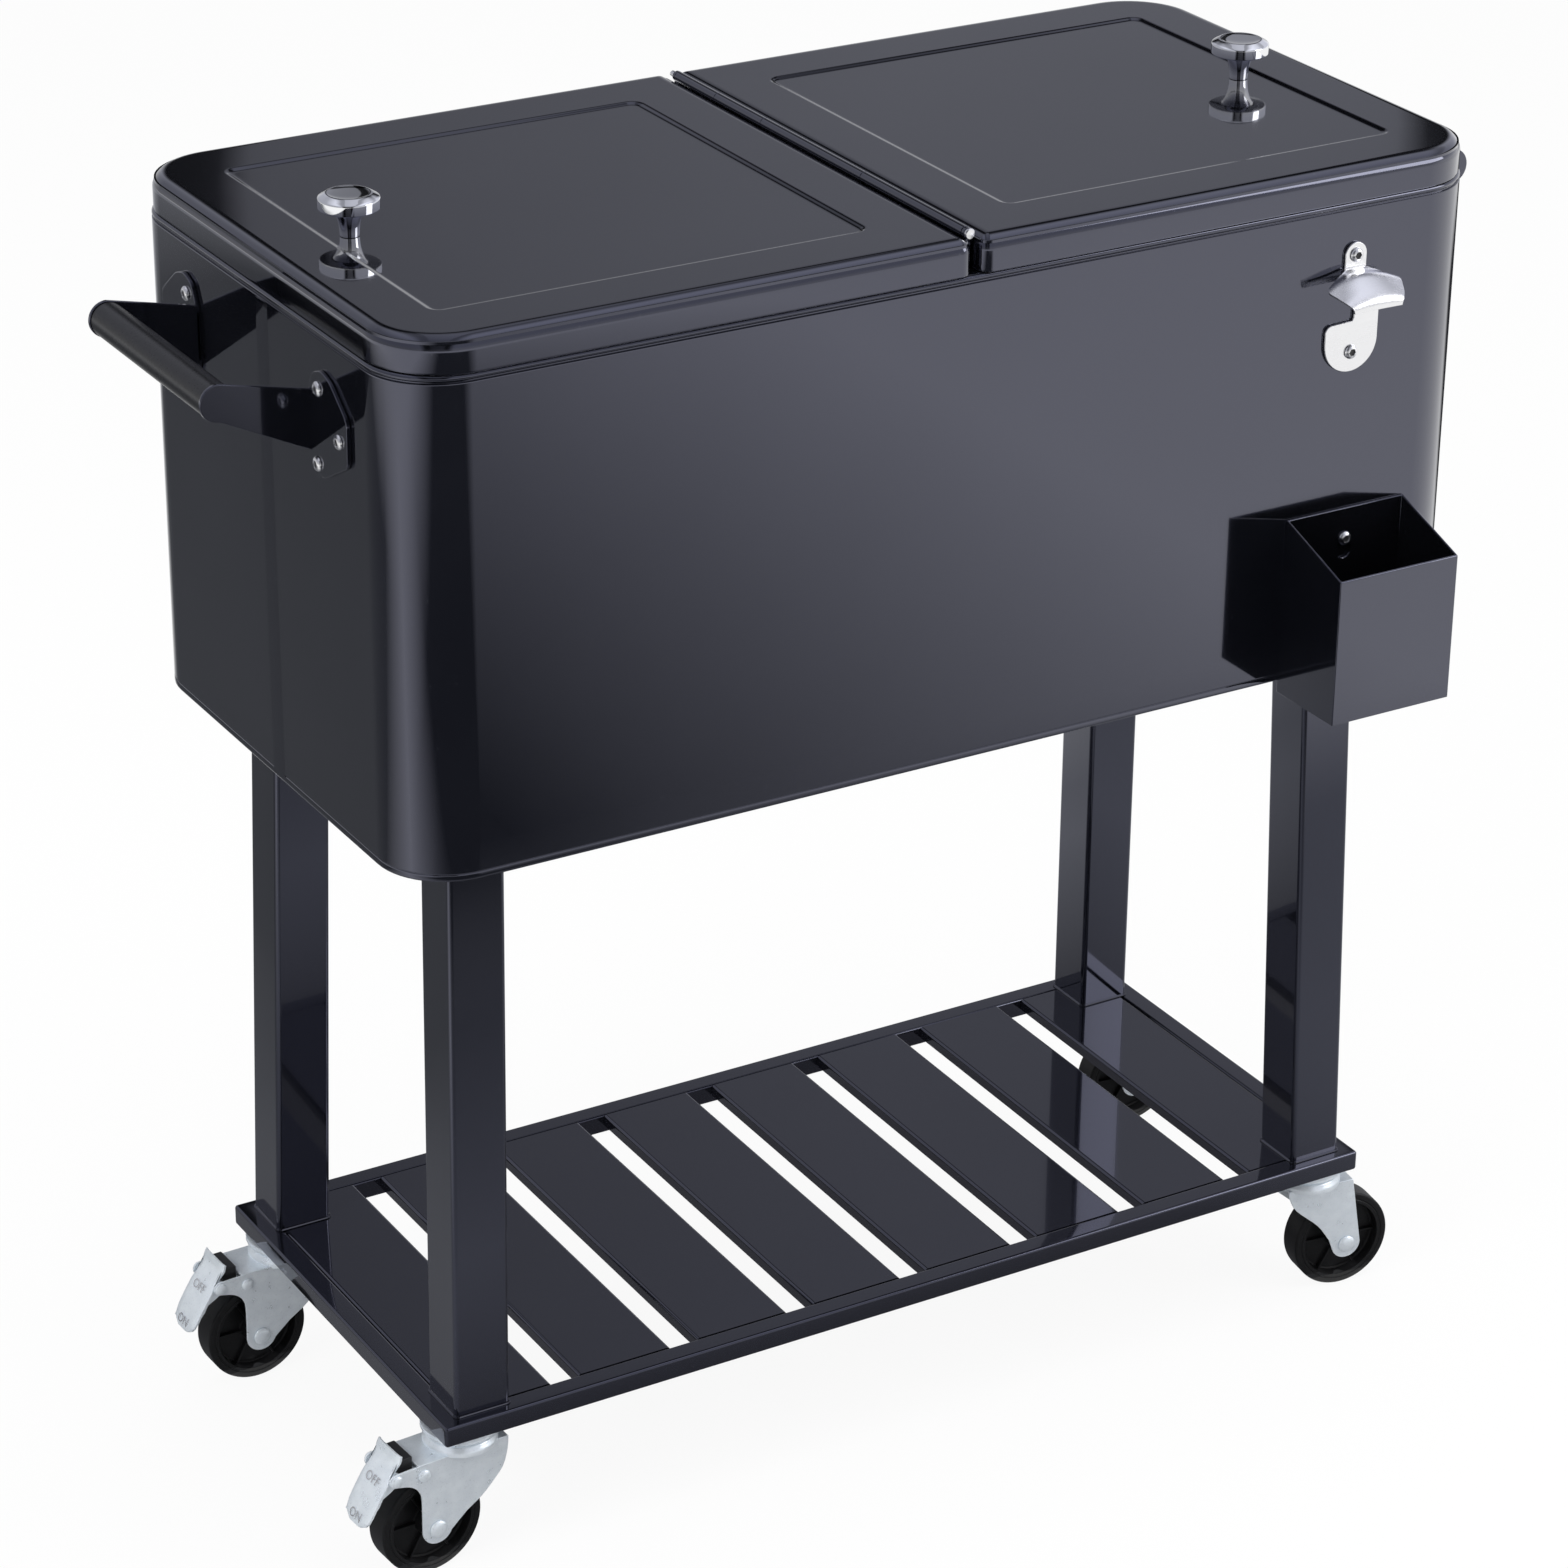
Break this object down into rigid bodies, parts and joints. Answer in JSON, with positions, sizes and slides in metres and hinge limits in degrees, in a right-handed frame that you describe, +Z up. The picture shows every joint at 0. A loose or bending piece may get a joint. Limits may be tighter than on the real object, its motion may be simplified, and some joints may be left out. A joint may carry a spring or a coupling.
{
  "type": "rolling patio cooler",
  "caption": "Insulated steel drinks chest with split lift-up lids, end handles, bottle opener, cap catcher and slatted shelf, standing on legs with swivel casters.",
  "frame": {"origin": "On the floor under the middle of the whole cooler's footprint, which reaches from the cap catcher to the back edge of the lids.", "axes": "+X along the chest, to the right for a person who faces the bottle opener; -Y is the front; +Z is up."},
  "size_m": [0.891, 0.4298, 0.8605],
  "materials": {
    "black_paint": "smooth gloss black powder coat",
    "black_plastic": "satin black moulded plastic",
    "wheel_plastic": "black moulded caster wheel with fine pebbled tread",
    "liner_plastic": "white moulded liner plastic",
    "foam": "poured insulating foam, hidden inside",
    "chrome": "polished chrome",
    "stainless_steel": "bright stainless steel sheet",
    "zinc_plate": "bright zinc-plated pressed steel"
  },
  "bodies": {
    "chest": {"tub_shell": "black_paint", "tub_foam": "foam", "tub_liner": "liner_plastic", "tub_rim": "black_plastic", "drain_spout": "liner_plastic", "centre_bar": "black_paint", "hinge_rod": "stainless_steel", "left_handle_front_bracket": "black_paint", "left_handle_back_bracket": "black_paint", "left_handle_grip": "black_paint", "right_handle_front_bracket": "black_paint", "right_handle_back_bracket": "black_paint", "right_handle_grip": "black_paint", "bottle_opener": "stainless_steel", "opener_upper_screw": "stainless_steel", "opener_lower_screw": "stainless_steel", "catcher_screw": "stainless_steel", "front_left_leg": "black_paint", "back_left_leg": "black_paint", "front_right_leg": "black_paint", "back_right_leg": "black_paint", "shelf_frame": "black_paint", "shelf_slat_1": "black_paint", "shelf_slat_2": "black_paint", "shelf_slat_3": "black_paint", "shelf_slat_4": "black_paint", "shelf_slat_5": "black_paint", "shelf_slat_6": "black_paint", "shelf_slat_7": "black_paint", "shelf_slat_8": "black_paint", "front_left_caster_mount": "zinc_plate", "back_left_caster_mount": "zinc_plate", "front_right_caster_mount": "zinc_plate", "back_right_caster_mount": "zinc_plate"},
    "left_lid": {"left_lid_cover": "black_paint", "left_lid_foam": "foam", "left_lid_panel": "liner_plastic", "left_lid_knob": "chrome", "left_lid_hinge_leaf": "black_paint"},
    "right_lid": {"right_lid_cover": "black_paint", "right_lid_foam": "foam", "right_lid_panel": "liner_plastic", "right_lid_knob": "chrome", "right_lid_hinge_leaf": "black_paint"},
    "drain_stopper": {"drain_plug": "black_plastic"},
    "catcher": {"cap_catcher": "black_paint"},
    "front_left_caster": {"front_left_fork": "zinc_plate", "front_left_axle": "zinc_plate"},
    "front_left_roller": {"front_left_wheel": "wheel_plastic"},
    "front_left_brake": {"front_left_brake_pedal": "zinc_plate"},
    "back_left_caster": {"back_left_fork": "zinc_plate", "back_left_axle": "zinc_plate"},
    "back_left_roller": {"back_left_wheel": "wheel_plastic"},
    "back_left_brake": {"back_left_brake_pedal": "zinc_plate"},
    "front_right_caster": {"front_right_fork": "zinc_plate", "front_right_axle": "zinc_plate"},
    "front_right_roller": {"front_right_wheel": "wheel_plastic"},
    "back_right_caster": {"back_right_fork": "zinc_plate", "back_right_axle": "zinc_plate"},
    "back_right_roller": {"back_right_wheel": "wheel_plastic"}
  },
  "joints": [
    {"name": "left_lid_hinge", "type": "hinge", "parent": "chest", "child": "left_lid", "pos_m": [0, 0.0294, 0.8355], "axis": [0, 1, 0], "range_deg": [0, 80]},
    {"name": "right_lid_hinge", "type": "hinge", "parent": "chest", "child": "right_lid", "pos_m": [0, 0.0294, 0.8355], "axis": [0, -1, 0], "range_deg": [0, 80]},
    {"name": "drain_pull", "type": "slide", "parent": "chest", "child": "drain_stopper", "axis": [0, 0, -1], "range_m": [0, 0.03]},
    {"name": "catcher_lift", "type": "slide", "parent": "chest", "child": "catcher", "axis": [0, 0, 1], "range_m": [0, 0.008]},
    {"name": "front_left_swivel", "type": "hinge", "parent": "chest", "child": "front_left_caster", "pos_m": [-0.325, -0.0996, 0.09], "axis": [0, 0, 1], "continuous": true},
    {"name": "front_left_roll", "type": "hinge", "parent": "front_left_caster", "child": "front_left_roller", "pos_m": [-0.35145, -0.10126, 0.0354], "axis": [-0.0628, 0.998, 0], "continuous": true},
    {"name": "front_left_brake_press", "type": "hinge", "parent": "front_left_caster", "child": "front_left_brake", "pos_m": [-0.37979, -0.10305, 0.0803], "axis": [0.0628, -0.998, 0], "range_deg": [0, 12]},
    {"name": "back_left_swivel", "type": "hinge", "parent": "chest", "child": "back_left_caster", "pos_m": [-0.325, 0.1584, 0.09], "axis": [0, 0, 1], "continuous": true},
    {"name": "back_left_roll", "type": "hinge", "parent": "back_left_caster", "child": "back_left_roller", "pos_m": [-0.35149, 0.15757, 0.0354], "axis": [-0.0314, 0.9995, 0], "continuous": true},
    {"name": "back_left_brake_press", "type": "hinge", "parent": "back_left_caster", "child": "back_left_brake", "pos_m": [-0.37987, 0.15668, 0.0803], "axis": [0.0314, -0.9995, 0], "range_deg": [0, 12]},
    {"name": "front_right_swivel", "type": "hinge", "parent": "chest", "child": "front_right_caster", "pos_m": [0.325, -0.0996, 0.09], "axis": [0, 0, 1], "continuous": true},
    {"name": "front_right_roll", "type": "hinge", "parent": "front_right_caster", "child": "front_right_roller", "pos_m": [0.35125, -0.10324, 0.0354], "axis": [0.1374, 0.9905, 0], "continuous": true},
    {"name": "back_right_swivel", "type": "hinge", "parent": "chest", "child": "back_right_caster", "pos_m": [0.325, 0.1584, 0.09], "axis": [0, 0, 1], "continuous": true},
    {"name": "back_right_roll", "type": "hinge", "parent": "back_right_caster", "child": "back_right_roller", "pos_m": [0.35144, 0.15655, 0.0354], "axis": [0.0698, 0.9976, 0], "continuous": true}
  ]
}
